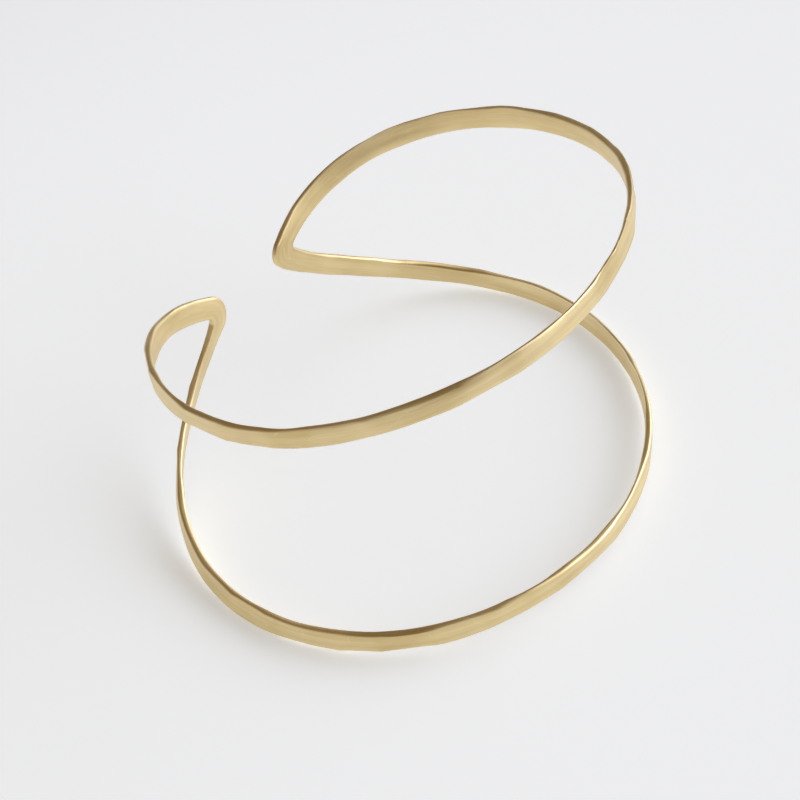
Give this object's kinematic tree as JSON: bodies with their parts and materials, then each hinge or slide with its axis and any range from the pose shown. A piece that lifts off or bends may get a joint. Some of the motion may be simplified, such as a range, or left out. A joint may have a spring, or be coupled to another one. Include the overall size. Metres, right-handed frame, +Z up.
{
  "type": "open cuff bangle",
  "caption": "Open cuff bangle: a slim flat brass bar bent into a pointed eye outline and rolled to fit a wrist, its two tips facing across a gap.",
  "frame": {"origin": "middle of the bangle's bounding box, on the surface that it lies on", "axes": "+Z up from that surface, with the wrist axis about five degrees off it; +X along the bangle's longest way, side to side; the gap between the tips faces +Y and the wide front faces -Y"},
  "size_m": [0.0636, 0.0536, 0.0416],
  "materials": {
    "brass": "satin, lightly hammered"
  },
  "bodies": {
    "root": {"cuff": "brass"}
  },
  "joints": []
}
